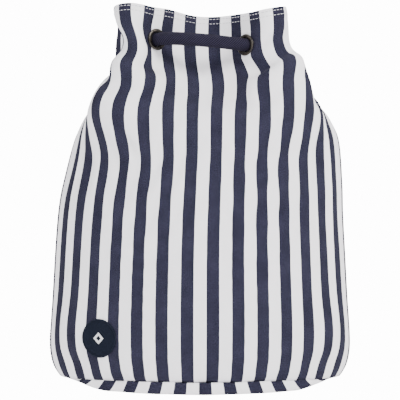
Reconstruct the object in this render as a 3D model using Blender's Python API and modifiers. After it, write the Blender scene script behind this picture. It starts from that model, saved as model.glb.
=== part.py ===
"""A striped canvas rope backpack: a tall oval bag, gathered at the neck by one thick rope.

Metres, +Z up. The origin is the middle of the base on the ground, the front of the bag faces -Y.
A place on the cloth is (s, h): s runs round the bag from the middle of the front, to the right
(+X) first, and h is the height of that place's row above the ground before the gather lifts it.
"""

import math
from functools import lru_cache

import bmesh
import bpy
import numpy as np
from mathutils import Vector

# The bag's body
BAG_WIDTH = 0.345
BAG_DEPTH = 0.216
OVALNESS = 1.85
SEAM_HEIGHT = 0.0138
EYELET_HEIGHT = 0.378
COLLAR_HEIGHT = 0.035
GATHER_LIFT = 0.0075
HEM_DEPTH = 0.011
CLOTH = 0.0012
GAP = 0.0003
SEAM_GAP = 0.0010

# Share of the way from base seam to neck, share of the width, share of the depth
BODY_PROFILE = (
    (0.00, 0.930, 0.930),
    (0.09, 1.000, 0.995),
    (0.28, 0.971, 1.000),
    (0.55, 0.925, 0.985),
    (0.72, 0.875, 0.925),
    (0.81, 0.815, 0.850),
    (0.88, 0.750, 0.760),
    (0.94, 0.680, 0.640),
    (1.00, 0.600, 0.550),
)
PLEATS_START = 0.86

# The rope and the eyelets that it runs through
ROPE = 0.014
EYELET_CLEARANCE = 0.0014
EYELET_WALL = 0.0009
EYELET_FLANGE = 0.0031
EYELET_RISE = 0.0014
WASHER = 0.0008
SEAT_GAP = 0.0006
LEG_MARGIN = 0.0023
EYELET_COUNT = 8

# Each neck eyelet, from the front by the right: X, Y, height over EYELET_HEIGHT, the direction
# that the cloth runs in there, and the direction that the fold of cloth after it points in,
# both in degrees from +X
NECK_EYELETS = (
    ("front_right", 0.0500, -0.0550, -0.003, -44.0, -10.0),
    ("right_front", 0.0620, -0.0220, -0.001, 146.0, 180.0),
    ("right_back", 0.0620, 0.0290, 0.001, 24.0, 12.0),
    ("back_right", 0.0490, 0.0560, 0.000, 208.0, 270.0),
    ("back_left", -0.0490, 0.0560, 0.001, 152.0, 168.0),
    ("left_back", -0.0620, 0.0290, 0.001, -24.0, 0.0),
    ("left_front", -0.0620, -0.0220, 0.002, 214.0, 190.0),
    ("front_left", -0.0474, -0.0550, 0.003, 38.0, 90.0),
)
CORNER_EYELET_HEIGHT = 0.046
CORNER_FROM_BACK = 0.118

# The rope's free runs down the back, for the right-hand side: X, how far behind the bag's
# greatest depth, and how far below the eyelets or, for the strap, the height
SLIDER_TOP = (0.0115, -0.014, 0.026)
SLIDER_BOTTOM = (0.0115, 0.022, 0.121)
STRAP_ROUTE = (
    (0.0200, 0.029, 0.215),
    (0.0370, 0.035, 0.150),
    (0.0500, 0.042, 0.085),
    (0.0560, 0.057, 0.035),
    (0.0640, 0.078, 0.010),
    (0.0850, 0.094, 0.0076),
    (0.1150, 0.096, 0.0076),
    (0.1420, 0.080, 0.0076),
    (0.1520, 0.052, 0.010),
    (0.1420, 0.024, 0.025),
)
STRAP_STEP = 0.036
NECK_STEP = 0.013
KNOT_WIDTH = 0.030
KNOT_LENGTH = 0.024

# The cord slider
SLIDER_WALL = 0.0045
SLIDER_LENGTH = 0.026
SLIDER_PARK = 0.010
SLIDER_EDGE = 0.003

# Seams, badge and label
BINDING_WIDTH = 0.012
BINDING = 0.0010
BADGE_DIAMETER = 0.042
BADGE_S = -0.112
BADGE_HEIGHT = 0.059
BADGE_BORDER = 0.0018
BADGE_THICKNESS = 0.0011
MOTIF_WIDTH = 0.013
MOTIF_THICKNESS = 0.0008
LABEL_WIDTH = 0.018
LABEL_LENGTH = 0.042
LABEL_THICKNESS = 0.0004
LABEL_HEIGHT = 0.120

# Base panel
BASE_RIM_INSET = 0.0015
BASE_CURVE = 0.010

# What follows from the sizes above
TOP = EYELET_HEIGHT + COLLAR_HEIGHT
BORE_RADIUS = (ROPE + EYELET_CLEARANCE) / 2
BARREL_RADIUS = BORE_RADIUS + EYELET_WALL
FLANGE_RADIUS = BARREL_RADIUS + EYELET_FLANGE
LEG = 2 * (FLANGE_RADIUS + LEG_MARGIN)
NECK_HEIGHT = EYELET_HEIGHT - LEG / 2 - 0.002

NAVY = (0.045, 0.048, 0.105, 1)
WHITE = (0.78, 0.77, 0.79, 1)
ROPE_NAVY = (0.038, 0.034, 0.075, 1)
GUNMETAL = (0.10, 0.09, 0.07, 1)
LEATHER = (0.030, 0.026, 0.035, 1)
BADGE_DARK = (0.012, 0.018, 0.032, 1)


def material(name, colour, roughness, metallic=0.0):
    made = bpy.data.materials.new(name)
    made.use_nodes = True
    shader = made.node_tree.nodes["Principled BSDF"]
    shader.inputs["Base Color"].default_value = colour
    shader.inputs["Roughness"].default_value = roughness
    shader.inputs["Metallic"].default_value = metallic
    made.diffuse_color = colour
    return made


def add_mesh(name, points, faces, collection, surface=None):
    mesh = bpy.data.meshes.new(name)
    mesh.from_pydata([tuple(p) for p in points], [], faces)
    made = bpy.data.objects.new(name, mesh)
    collection.objects.link(made)
    if surface:
        mesh.materials.append(surface)
    return made


# The cloth's shape


def oval(half_width, half_depth, count=360):
    """One turn of an oval from the middle of the front, by +X: its points' X and Y."""
    turn = np.linspace(0, 2 * math.pi, count + 1)
    x = np.sin(turn)
    y = -np.cos(turn)
    power = 2 / OVALNESS
    return (
        half_width * np.sign(x) * np.abs(x) ** power,
        half_depth * np.sign(y) * np.abs(y) ** power,
    )


def lengths_along(x, y):
    return np.concatenate([[0], np.cumsum(np.hypot(np.diff(x), np.diff(y)))])


GIRTH = lengths_along(*oval(BAG_WIDTH / 2, BAG_DEPTH / 2))[-1]
SPACING = GIRTH / EYELET_COUNT


@lru_cache(maxsize=None)
def oval_table(half_width, half_depth):
    x, y = oval(half_width, half_depth)
    along = lengths_along(x, y)
    return along / along[-1], x, y


def body_size(share):
    """The body's half width and half depth, share of the way from base seam to neck."""
    at, widths, depths = np.array(BODY_PROFILE).T
    rounded = np.linspace(-0.03, 0.03, 7) + share
    width = np.interp(rounded, at, widths).mean()
    depth = np.interp(rounded, at, depths).mean()
    return round(BAG_WIDTH / 2 * width, 6), round(BAG_DEPTH / 2 * depth, 6)


def direction(degrees):
    return np.array([math.cos(math.radians(degrees)), math.sin(math.radians(degrees))])


def bow(start, leaving, end, arriving, strength, count=40):
    """A cubic curve between two places, with the directions that it leaves and arrives in."""
    t = np.linspace(0, 1, count)[:, None]
    leaving = leaving * strength
    arriving = arriving * strength
    curve = (2 * t**3 - 3 * t**2 + 1) * start + (t**3 - 2 * t**2 + t) * leaving
    return curve + (3 * t**2 - 2 * t**3) * end + (t**3 - t**2) * arriving


def fold_of_cloth(start, leaving, end, arriving, pointing):
    """Two bows that meet at the fold's tip. The tip reaches as far as the cloth left allows."""
    wanted = SPACING - LEG
    across = np.array([-pointing[1], pointing[0]])
    if np.dot(across, end - start) < 0:
        across = -across
    near, far = 0.0, wanted
    for _ in range(40):
        reach = (near + far) / 2
        tip = (start + end) / 2 + pointing * reach
        first = bow(start, leaving, tip, across, np.linalg.norm(tip - start))
        second = bow(tip, across, end, arriving, np.linalg.norm(end - tip))
        curve = np.concatenate([first, second[1:]])
        if lengths_along(*curve.T)[-1] < wanted:
            near = reach
        else:
            far = reach
    return curve


def neck_table():
    """The gathered neck's outline: straight legs at the eyelets, folds of cloth between."""
    places = [np.array(row[1:3]) for row in NECK_EYELETS]
    ways = [direction(row[4]) for row in NECK_EYELETS]
    outline = []
    for i, (place, way) in enumerate(zip(places, ways)):
        after = (i + 1) % EYELET_COUNT
        outline += [place - way * LEG / 2, place]
        start = place + way * LEG / 2
        end = places[after] - ways[after] * LEG / 2
        fold = fold_of_cloth(start, way, end, ways[after], direction(NECK_EYELETS[i][5]))
        outline += list(fold)[:-1]
    outline.append(outline[0])
    x, y = np.array(outline).T
    along = lengths_along(x, y)
    return along - LEG / 2 + SPACING / 2, x, y


NECK = neck_table()


def neck_point(s):
    along, x, y = NECK
    first = along[0]
    s = (s - first) % GIRTH + first
    return np.array([np.interp(s, along, x), np.interp(s, along, y)])


def gather_lift(s):
    """How much higher the gather holds the cloth here: folds out stand up, folds in sink."""
    centres = (np.arange(-1, EYELET_COUNT + 1) + 0.5) * SPACING
    heights = [row[3] for row in NECK_EYELETS]
    held = np.interp(s % GIRTH, centres, [heights[-1], *heights, heights[0]])
    return held - GATHER_LIFT * math.cos(math.pi * s / SPACING)


def smooth_step(x):
    x = min(max(x, 0.0), 1.0)
    return x * x * (3 - 2 * x)


def cloth_surface(s, h):
    """The outer side of the cloth."""
    share = (h - SEAM_HEIGHT) / (NECK_HEIGHT - SEAM_HEIGHT)
    turn, x, y = oval_table(*body_size(min(share, 1.0)))
    at = s / GIRTH % 1
    body = np.array([np.interp(at, turn, x), np.interp(at, turn, y)])
    gathered = smooth_step((share - PLEATS_START) / (1 - PLEATS_START))
    flat = body * (1 - gathered) + neck_point(s) * gathered
    return Vector((*flat, h + gather_lift(s) * gathered))


def cloth_normal(s, h):
    step = 0.0006
    across = cloth_surface(s + step, h) - cloth_surface(s - step, h)
    up = cloth_surface(s, h + step) - cloth_surface(s, h - step)
    return across.cross(up).normalized()


def cloth_point(s, h, depth):
    """The place depth below the cloth's outer side; a negative depth is above it."""
    return cloth_surface(s, h) - cloth_normal(s, h) * depth


def sheet(name, columns, rows, outer, inner, collection, surface, ring=False):
    """A solid sheet that follows the cloth. outer and inner give each row's two depths."""
    places = [(s, h) for h in rows for s in columns]
    points = [cloth_point(s, h, outer(h)) for s, h in places]
    points += [cloth_point(s, h, inner(h)) for s, h in places]
    width = len(columns)
    under = len(places)
    spans = width if ring else width - 1
    faces = []
    for row in range(len(rows) - 1):
        for column in range(spans):
            a = row * width + column
            b = row * width + (column + 1) % width
            faces.append((a, b, b + width, a + width))
            faces.append((under + a, under + a + width, under + b + width, under + b))
    top = (len(rows) - 1) * width
    for column in range(spans):
        a = column
        b = (column + 1) % width
        faces.append((b, a, under + a, under + b))
        faces.append((top + a, top + b, under + top + b, under + top + a))
    if not ring:
        for row in range(len(rows) - 1):
            a = row * width
            b = a + width - 1
            faces.append((a, a + width, under + a + width, under + a))
            faces.append((b + width, b, under + b, under + b + width))
    return add_mesh(name, points, faces, collection, surface)


def rings_solid(name, rings, collection, surface, hollow=False):
    """A solid through rings of equally many points, its ends closed or joined to each other."""
    count = len(rings[0])
    points = [p for ring in rings for p in ring]
    faces = []
    for i in range(len(rings) - (0 if hollow else 1)):
        low = i * count
        high = (i + 1) % len(rings) * count
        for j in range(count):
            k = (j + 1) % count
            faces.append((low + j, low + k, high + k, high + j))
    if not hollow:
        faces.append(tuple(reversed(range(count))))
        faces.append(tuple(range(len(points) - count, len(points))))
    return add_mesh(name, points, faces, collection, surface)


# Where the eyelets sit


def columns_between(start, end):
    """The cloth's columns: both ends and the middle of each leg, and eight in each fold."""
    found = [start + SEAM_GAP / 2, end - SEAM_GAP / 2]
    for turn in range(-EYELET_COUNT, 2 * EYELET_COUNT):
        middle = (turn + 0.5) * SPACING
        fold = np.linspace(middle + LEG / 2, middle + SPACING - LEG / 2, 9)
        found += [s for s in (middle, *fold) if start + SEAM_GAP < s < end - SEAM_GAP]
    return sorted(found)


def cloth_rows():
    """Rows close together where the body turns at the base, in the pleats and at the hem."""
    shares = (0.0, 0.045, 0.09, 0.14, 0.28, 0.42, 0.55, 0.64, 0.72, 0.81, 0.86)
    shares += (0.88, 0.91, 0.94, 0.97, 1.0)
    body = [SEAM_HEIGHT + (NECK_HEIGHT - SEAM_HEIGHT) * share for share in shares]
    hem = TOP - HEM_DEPTH
    return body + [EYELET_HEIGHT, hem - GAP, hem, TOP]


def inner_depth(h):
    """The cloth is doubled in the hem."""
    return 2 * CLOTH if h > TOP - HEM_DEPTH - GAP / 2 else CLOTH


def eyelet_seat(s, h):
    """An eyelet's place and outward direction, and how far the cloth round it rises over its
    outer side's flat and drops below it."""
    place = cloth_surface(s, h)
    outward = cloth_normal(s, h)
    rise, drop = 0.0, 0.0
    for step in range(12):
        turn = step / 12 * 2 * math.pi
        near = cloth_surface(s + FLANGE_RADIUS * math.cos(turn), h + FLANGE_RADIUS * math.sin(turn))
        off = (near - place).dot(outward)
        rise = max(rise, off)
        drop = max(drop, -off)
    return place, outward, rise, drop


def neck_eyelet_at(i):
    return (i + 0.5) * SPACING, EYELET_HEIGHT


def corner_eyelet_at(side):
    """side is 1 for the right and -1 for the left; GIRTH / 2 is the middle of the back."""
    return GIRTH / 2 - side * CORNER_FROM_BACK, CORNER_EYELET_HEIGHT


def facing(way):
    """The rotation that turns +Z to a direction."""
    return Vector(way).to_track_quat("Z", "Y").to_euler()


def turned_solid(name, profile, place, outward, collection, surface, steps=16):
    """A closed profile of (radius, height) turned round an axis."""
    count = len(profile)
    edges = [(i, (i + 1) % count) for i in range(count)]
    mesh = bpy.data.meshes.new(name)
    mesh.from_pydata([(r, 0, z) for r, z in profile], edges, [])
    mesh.materials.append(surface)
    made = bpy.data.objects.new(name, mesh)
    collection.objects.link(made)
    made.location = place
    made.rotation_euler = facing(outward)
    screw = made.modifiers.new("turn", "SCREW")
    screw.steps = steps
    screw.render_steps = steps
    screw.use_merge_vertices = True
    screw.merge_threshold = 0.00001
    screw.use_smooth_shade = True
    return made


def eyelet(name, seat, collection, metal):
    """A barrel with its outer flange, set through the cloth, and the washer it is rolled over."""
    place, outward, rise, drop = seat
    under = rise + SEAT_GAP
    back = -(CLOTH + drop + SEAT_GAP)
    washer_back = back - WASHER
    lip = washer_back - GAP
    flange = [
        (BORE_RADIUS, under + EYELET_RISE * 0.7),
        (BORE_RADIUS + EYELET_WALL, under + EYELET_RISE),
        (BARREL_RADIUS + EYELET_FLANGE * 0.6, under + EYELET_RISE * 0.9),
        (FLANGE_RADIUS, under + EYELET_RISE * 0.4),
        (FLANGE_RADIUS, under),
        (BARREL_RADIUS, under),
        (BARREL_RADIUS, lip),
        (BARREL_RADIUS + EYELET_WALL, lip),
        (BARREL_RADIUS + EYELET_WALL, lip - EYELET_WALL / 2),
        (BORE_RADIUS, lip - EYELET_WALL),
    ]
    turned_solid(f"eyelet_{name}", flange, place, outward, collection, metal)
    inside = BARREL_RADIUS + GAP
    outside = FLANGE_RADIUS - GAP
    washer = [(inside, back), (outside, back), (outside, washer_back), (inside, washer_back)]
    turned_solid(f"washer_{name}", washer, place, outward, collection, metal)
    return lip - EYELET_WALL


def cut(target, name, radius, length, place, way, cutters):
    """A round hole through the target."""
    mesh = bpy.data.meshes.new(name)
    shape = bmesh.new()
    bmesh.ops.create_cone(
        shape, cap_ends=True, segments=24, radius1=radius, radius2=radius, depth=length
    )
    shape.to_mesh(mesh)
    shape.free()
    tool = bpy.data.objects.new(name, mesh)
    cutters.objects.link(tool)
    tool.location = place
    tool.rotation_euler = facing(way)
    tool.hide_render = True
    tool.display_type = "WIRE"
    hole = target.modifiers.new(name, "BOOLEAN")
    hole.operation = "DIFFERENCE"
    hole.object = tool
    return tool


# The pieces


def cloth_panels(collection, cutters, canvas, seats):
    rows = cloth_rows()
    front = sheet(
        "body_front",
        columns_between(-GIRTH / 4, GIRTH / 4),
        rows,
        lambda h: 0.0,
        inner_depth,
        collection,
        canvas,
    )
    back = sheet(
        "body_back",
        columns_between(GIRTH / 4, GIRTH * 3 / 4),
        rows,
        lambda h: 0.0,
        inner_depth,
        collection,
        canvas,
    )
    for name, (place, outward, _, drop) in seats.items():
        panel = front if name in ("front_left", "front_right", "right_front", "left_front") else back
        length = 4 * (CLOTH + drop + SEAT_GAP)
        cut(panel, f"hole_{name}", BARREL_RADIUS + GAP, length, place, outward, cutters)


def base_ring(inset, height, count=64):
    """A ring of the base's oval, brought in by an inset."""
    half_width, half_depth = body_size(0.0)
    inset += BASE_RIM_INSET
    turn, x, y = oval_table(round(half_width - inset, 6), round(half_depth - inset, 6))
    shares = np.arange(count) / count
    return [Vector((np.interp(a, turn, x), np.interp(a, turn, y), height)) for a in shares]


def base_panel(collection, canvas):
    """A shallow dish: flat on the ground, its rim turned up to the base seam."""
    rim = SEAM_HEIGHT - GAP
    rings = [
        base_ring(BASE_CURVE, 0.0),
        base_ring(BASE_CURVE * 0.3, rim * 0.25),
        base_ring(0.0, rim),
        base_ring(CLOTH, rim),
        base_ring(BASE_CURVE * 0.3 + CLOTH, rim * 0.25 + CLOTH * 0.7),
        base_ring(BASE_CURVE + CLOTH * 0.3, CLOTH),
    ]
    return rings_solid("base_panel", rings, collection, canvas)


def bindings(collection, tape):
    """Tape sewn over the raw edges inside: round the base seam and up both side seams to the pleats."""
    first = CLOTH + GAP
    last = first + BINDING
    low = SEAM_HEIGHT + 0.001
    high = low + BINDING_WIDTH
    round_columns = [(i + 0.5) * GIRTH / 72 for i in range(72)]
    sheet(
        "base_binding",
        round_columns,
        [low, (low + high) / 2, high],
        lambda h: first,
        lambda h: last,
        collection,
        tape,
        ring=True,
    )
    pleats = SEAM_HEIGHT + (NECK_HEIGHT - SEAM_HEIGHT) * PLEATS_START
    rows = [h for h in cloth_rows() if high + 0.002 < h <= pleats]
    for name, seam in (("side_binding_right", GIRTH / 4), ("side_binding_left", -GIRTH / 4)):
        columns = [seam - BINDING_WIDTH / 2, seam, seam + BINDING_WIDTH / 2]
        sheet(
            name,
            columns,
            [high + 0.002, *rows],
            lambda h: first + 0.0004,
            lambda h: last + 0.0004,
            collection,
            tape,
        )


def badge_ring(radius, depth, count=32):
    turns = [i / count * 2 * math.pi for i in range(count)]
    return [
        cloth_point(BADGE_S + radius * math.cos(a), BADGE_HEIGHT + radius * math.sin(a), depth)
        for a in turns
    ]


def badge(collection, felt, edge, thread):
    """A round patch with a corded border and a small raised motif, sewn on the front."""
    under = -(GAP + 0.0001)
    top = under - BADGE_THICKNESS
    outer = BADGE_DIAMETER / 2
    disc = outer - BADGE_BORDER - GAP
    shares = (0.3, 0.6, 0.85, 1.0)
    rings = [badge_ring(disc * share, under) for share in shares]
    rings += [badge_ring(disc * share, top) for share in reversed(shares)]
    rings_solid("badge_disc", rings, collection, felt)
    inner = outer - BADGE_BORDER
    border = [
        badge_ring(inner, under),
        badge_ring(outer, under),
        badge_ring(outer, top),
        badge_ring(inner, top - 0.0003),
    ]
    rings_solid("badge_border", border, collection, edge, hollow=True)
    low = top - GAP - 0.0002
    high = low - MOTIF_THICKNESS
    half = MOTIF_WIDTH / 2
    motif = [
        badge_ring(half * share, depth, count=4)
        for share, depth in ((0.55, low), (1.0, low), (1.0, high), (0.55, high))
    ]
    rings_solid("badge_motif", motif, collection, thread, hollow=True)


def care_label(collection, satin):
    seam = -GIRTH / 4 + BINDING_WIDTH
    columns = list(np.linspace(seam, seam + LABEL_WIDTH, 4))
    rows = list(np.linspace(LABEL_HEIGHT, LABEL_HEIGHT + LABEL_LENGTH, 4))
    first = CLOTH + 2 * GAP
    last = first + LABEL_THICKNESS
    sheet("care_label", columns, rows, lambda h: first, lambda h: last, collection, satin)


def slider_run():
    """The right-hand straight run's two ends, and the way down along it."""
    ends = []
    for x, behind, below in (SLIDER_TOP, SLIDER_BOTTOM):
        ends.append(Vector((x, BAG_DEPTH / 2 + behind, EYELET_HEIGHT - below)))
    return *ends, (ends[1] - ends[0]).normalized()


def rope_stations(seats, inner_ends):
    """The rope from its left knot to its right knot, as places and the ways it runs there."""
    stations = []

    def through(name, sense, before, after):
        place, outward = seats[name][:2]
        way = outward * sense
        stations.append((place - way * before, way))
        stations.append((place + way * after, way))

    def mirrored(point, side):
        return Vector((point[0] * side, point[1], point[2]))

    top, bottom, run = slider_run()
    strap = [Vector((x, BAG_DEPTH / 2 + behind, z)) for x, behind, z in STRAP_ROUTE]
    straight = 0.006
    through("corner_left", 1, -inner_ends["corner_left"], straight)
    stations += [(mirrored(p, -1), None) for p in reversed(strap)]
    stations.append((mirrored(bottom, -1), -run))
    stations.append((mirrored(top, -1), -run))
    through("back_left", -1, straight, straight)
    through("left_back", 1, straight, straight)
    through("left_front", -1, straight, straight)
    through("front_left", 1, straight, straight)
    through("front_right", -1, straight, straight)
    through("right_front", 1, straight, straight)
    through("right_back", -1, straight, straight)
    through("back_right", 1, straight, straight)
    stations.append((top, run))
    stations.append((bottom, run))
    stations += [(p, None) for p in strap]
    through("corner_right", -1, straight, -inner_ends["corner_right"])
    return stations


def rope_points(stations):
    """Points along one smooth curve through the stations, closer together in the neck."""
    places = [np.array(p) for p, _ in stations]
    ways = []
    for i, (_, way) in enumerate(stations):
        if way is None:
            chord = places[i + 1] - places[i - 1]
            way = chord / np.linalg.norm(chord)
        ways.append(np.array(way))
    points = [places[0]]
    neck = NECK_HEIGHT - 0.02
    for i in range(len(places) - 1):
        start, end = places[i], places[i + 1]
        distance = np.linalg.norm(end - start)
        step = NECK_STEP if min(start[2], end[2]) > neck else STRAP_STEP
        parts = max(1, round(distance / step))
        if abs(np.dot(end - start, ways[i])) > 0.9999 * distance:
            parts = 1
        curve = bow(start, ways[i], end, ways[i + 1], distance * 0.9, count=parts + 1)
        points += list(curve[1:])
    return points


def rope(points, collection, cord):
    curve = bpy.data.curves.new("drawcord", "CURVE")
    curve.dimensions = "3D"
    curve.bevel_depth = ROPE / 2
    curve.bevel_resolution = 2
    curve.use_fill_caps = True
    line = curve.splines.new("POLY")
    line.points.add(len(points) - 1)
    for spot, place in zip(line.points, points):
        spot.co = (*place, 1)
    curve.materials.append(cord)
    made = bpy.data.objects.new("drawcord", curve)
    collection.objects.link(made)
    return made


def knot(name, seat, inner_end, collection, cord):
    """The stopper knot on a rope's end, inside the bag behind its corner eyelet."""
    place, outward = seat[:2]
    mesh = bpy.data.meshes.new(name)
    shape = bmesh.new()
    bmesh.ops.create_uvsphere(shape, u_segments=16, v_segments=10, radius=0.5)
    bmesh.ops.scale(shape, vec=(KNOT_WIDTH, KNOT_WIDTH, KNOT_LENGTH), verts=shape.verts)
    shape.to_mesh(mesh)
    shape.free()
    mesh.shade_smooth()
    mesh.materials.append(cord)
    made = bpy.data.objects.new(name, mesh)
    collection.objects.link(made)
    made.location = place + outward * (inner_end - GAP - KNOT_LENGTH / 2)
    made.rotation_euler = facing(outward)
    return made


def slider(collection, cutters, leather):
    """A block on both runs of the rope, which slides along them to close the neck."""
    top, _, run = slider_run()
    middle = top + run * (SLIDER_PARK + SLIDER_LENGTH / 2)
    bore = 2 * BORE_RADIUS
    width = 2 * top.x + bore + 2 * SLIDER_WALL
    depth = bore + 2 * SLIDER_WALL
    mesh = bpy.data.meshes.new("cord_slider")
    shape = bmesh.new()
    bmesh.ops.create_cube(shape, size=1.0)
    bmesh.ops.scale(shape, vec=(width, depth, SLIDER_LENGTH), verts=shape.verts)
    shape.to_mesh(mesh)
    shape.free()
    mesh.materials.append(leather)
    made = bpy.data.objects.new("cord_slider", mesh)
    collection.objects.link(made)
    made.location = (0, middle.y, middle.z)
    tilt = math.atan2(run.y, -run.z)
    made.rotation_euler = (tilt, 0, 0)
    rounding = made.modifiers.new("rounding", "BEVEL")
    rounding.width = SLIDER_EDGE
    rounding.segments = 2
    for side in (-1, 1):
        place = Vector((top.x * side, middle.y, middle.z))
        name = "slider_bore_right" if side > 0 else "slider_bore_left"
        cut(made, name, BORE_RADIUS, 2 * SLIDER_LENGTH, place, run, cutters)
    return made


for old in list(bpy.data.objects):
    bpy.data.objects.remove(old, do_unlink=True)

backpack = bpy.data.collections.new("rope_backpack")
tools = bpy.data.collections.new("cutters")
bpy.context.scene.collection.children.link(backpack)
bpy.context.scene.collection.children.link(tools)

canvas = material("striped_canvas", NAVY, 0.9)
base_canvas = material("base_canvas", WHITE, 0.9)
tape = material("seam_tape", WHITE, 0.85)
metal = material("eyelet_metal", GUNMETAL, 0.35, 0.9)
cord = material("rope", ROPE_NAVY, 0.85)
leather = material("slider_leather", LEATHER, 0.5)
felt = material("badge_ground", BADGE_DARK, 0.9)
border_thread = material("badge_border_thread", BADGE_DARK, 0.6)
white_thread = material("white_thread", WHITE, 0.6)
satin = material("label_satin", WHITE, 0.5)

eyelet_seats = {
    row[0]: eyelet_seat(*neck_eyelet_at(i)) for i, row in enumerate(NECK_EYELETS)
}
eyelet_seats["corner_right"] = eyelet_seat(*corner_eyelet_at(1))
eyelet_seats["corner_left"] = eyelet_seat(*corner_eyelet_at(-1))

cloth_panels(backpack, tools, canvas, eyelet_seats)
base_panel(backpack, base_canvas)
bindings(backpack, tape)
inner_ends = {name: eyelet(name, seat, backpack, metal) for name, seat in eyelet_seats.items()}
rope(rope_points(rope_stations(eyelet_seats, inner_ends)), backpack, cord)
for side in ("left", "right"):
    seat = eyelet_seats[f"corner_{side}"]
    knot(f"cord_knot_{side}", seat, inner_ends[f"corner_{side}"], backpack, cord)
slider(backpack, tools, leather)
badge(backpack, felt, border_thread, white_thread)
care_label(backpack, satin)
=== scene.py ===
"""A navy and white striped canvas rope backpack, standing closed on a pale floor.

The rope comes first, then the canvas that it gathers, the sewing, the eyelets, the base and the
tapes, the label, the badge and the slider. Metres, +Z up, the front of the bag faces -Y.
"""

import math

import bmesh
import bpy
import numpy as np
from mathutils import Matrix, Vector
from mathutils.kdtree import KDTree


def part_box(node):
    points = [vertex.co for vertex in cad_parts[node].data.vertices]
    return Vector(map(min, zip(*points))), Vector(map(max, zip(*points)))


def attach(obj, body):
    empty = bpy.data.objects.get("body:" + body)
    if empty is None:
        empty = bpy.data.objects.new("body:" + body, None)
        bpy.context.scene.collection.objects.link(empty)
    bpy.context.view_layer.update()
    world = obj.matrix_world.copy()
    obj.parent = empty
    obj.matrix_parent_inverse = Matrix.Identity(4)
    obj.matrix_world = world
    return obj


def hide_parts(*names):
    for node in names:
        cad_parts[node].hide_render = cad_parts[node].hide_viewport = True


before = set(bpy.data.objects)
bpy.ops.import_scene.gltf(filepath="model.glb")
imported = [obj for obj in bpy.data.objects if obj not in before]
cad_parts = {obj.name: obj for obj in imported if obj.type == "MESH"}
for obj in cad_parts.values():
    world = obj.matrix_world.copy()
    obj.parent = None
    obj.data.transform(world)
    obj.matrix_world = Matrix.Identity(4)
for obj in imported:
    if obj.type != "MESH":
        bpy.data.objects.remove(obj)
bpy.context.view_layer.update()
BAG = "bag"

# --- Camera, floor and light ---------------------------------------------------------------
# The bag stands on a pale seamless floor in soft light from all round, seen level from the
# front at the height of its middle.

CAMERA_DISTANCE = 1.4
CAMERA_HEIGHT = 0.206
LENS = 111.0
SEEN_WHITE = 14.0


def link(obj):
    bpy.context.scene.collection.objects.link(obj)
    return obj


def soft_light(name, place, size, power, tone=(1, 1, 1)):
    lamp = bpy.data.lights.new(name, "AREA")
    lamp.shape = "DISK"
    lamp.size = size
    lamp.energy = power
    lamp.color = tone
    obj = link(bpy.data.objects.new(name, lamp))
    obj.location = place
    towards = Vector((0, 0, 0.2)) - Vector(place)
    obj.rotation_euler = towards.to_track_quat("-Z", "Y").to_euler()


camera_data = bpy.data.cameras.new("camera")
camera_data.lens = LENS
camera_data.sensor_width = 36.0
camera_data.clip_end = 20
camera = link(bpy.data.objects.new("camera", camera_data))
camera.location = (0, -CAMERA_DISTANCE, CAMERA_HEIGHT)
camera.rotation_euler = (math.pi / 2, 0, 0)
bpy.context.scene.camera = camera


def white_when_seen(tree, usual, white, end):
    """The white shader for what the camera sees directly, the usual one for all else."""
    path = tree.nodes.new("ShaderNodeLightPath")
    chosen = tree.nodes.new("ShaderNodeMixShader")
    white.inputs["Strength"].default_value = SEEN_WHITE
    tree.links.new(path.outputs["Is Camera Ray"], chosen.inputs[0])
    tree.links.new(usual.outputs[0], chosen.inputs[1])
    tree.links.new(white.outputs[0], chosen.inputs[2])
    tree.links.new(chosen.outputs[0], tree.nodes[end].inputs["Surface"])


world = bpy.data.worlds.new("studio")
world.use_nodes = True
studio = world.node_tree
around_it = studio.nodes["Background"]
around_it.inputs["Color"].default_value = (1, 1, 1, 1)
around_it.inputs["Strength"].default_value = 0.95
behind_it = studio.nodes.new("ShaderNodeBackground")
behind_it.inputs["Color"].default_value = (1, 1, 1, 1)
white_when_seen(studio, around_it, behind_it, "World Output")
bpy.context.scene.world = world

floor_mesh = bpy.data.meshes.new("floor")
floor_mesh.from_pydata([(-6, -2, 0), (6, -2, 0), (6, 6, 0), (-6, 6, 0)], [], [(0, 1, 2, 3)])
floor = link(bpy.data.objects.new("floor", floor_mesh))

soft_light("key", (1.1, -1.5, 1.5), 0.9, 66, (1.0, 0.99, 0.97))
soft_light("fill", (-1.5, -1.5, 0.9), 1.6, 24, (0.96, 0.98, 1.0))
soft_light("top", (0.1, 0.4, 2.2), 1.4, 22)


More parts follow.
